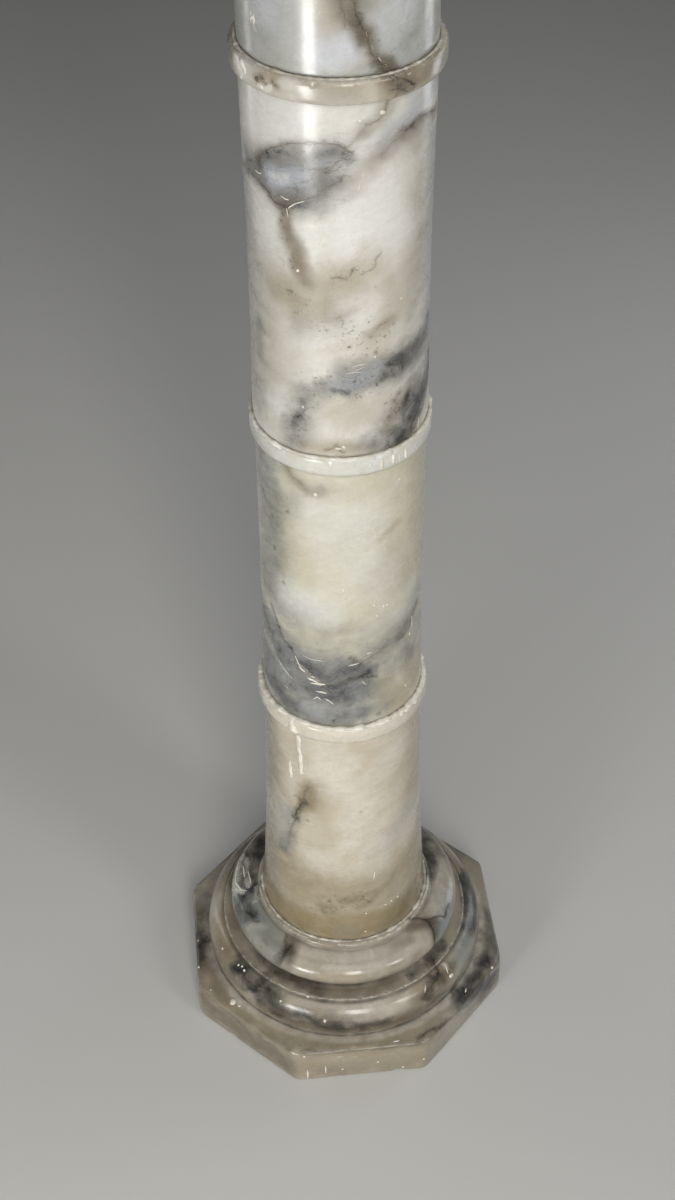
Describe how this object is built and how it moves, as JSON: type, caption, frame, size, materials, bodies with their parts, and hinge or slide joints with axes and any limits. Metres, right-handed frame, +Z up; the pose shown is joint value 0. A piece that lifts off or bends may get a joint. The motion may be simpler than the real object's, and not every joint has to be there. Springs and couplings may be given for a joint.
{
  "type": "pedestal column",
  "caption": "Turned marble pedestal column: octagonal moulded base, ringed drum shaft and capital with an octagonal top slab.",
  "frame": {"origin": "middle of the underside of the base, on the floor", "axes": "+Z up along the shaft; flats of the octagonal base face +X, -X, +Y and -Y; the front seen in the picture is -Y"},
  "size_m": [0.27, 0.27, 1.228],
  "materials": {
    "base_marble": "polished grey and honey marble with dark veins, worn wax gloss",
    "cream_marble": "polished cream marble, few faint veins",
    "grey_marble": "polished cream marble with a blue-grey veined band",
    "eye_marble": "polished white and beige marble with a grey eye and brown veins",
    "white_marble": "polished grey-white marble with one brown vein",
    "capital_marble": "polished pale marble, faint veins",
    "joint_cement": "matt white joint cement"
  },
  "bodies": {
    "root": {"base": "base_marble", "shaft_drum_1": "cream_marble", "shaft_drum_2": "grey_marble", "shaft_drum_3": "eye_marble", "shaft_drum_4": "white_marble", "capital": "capital_marble"}
  },
  "joints": []
}
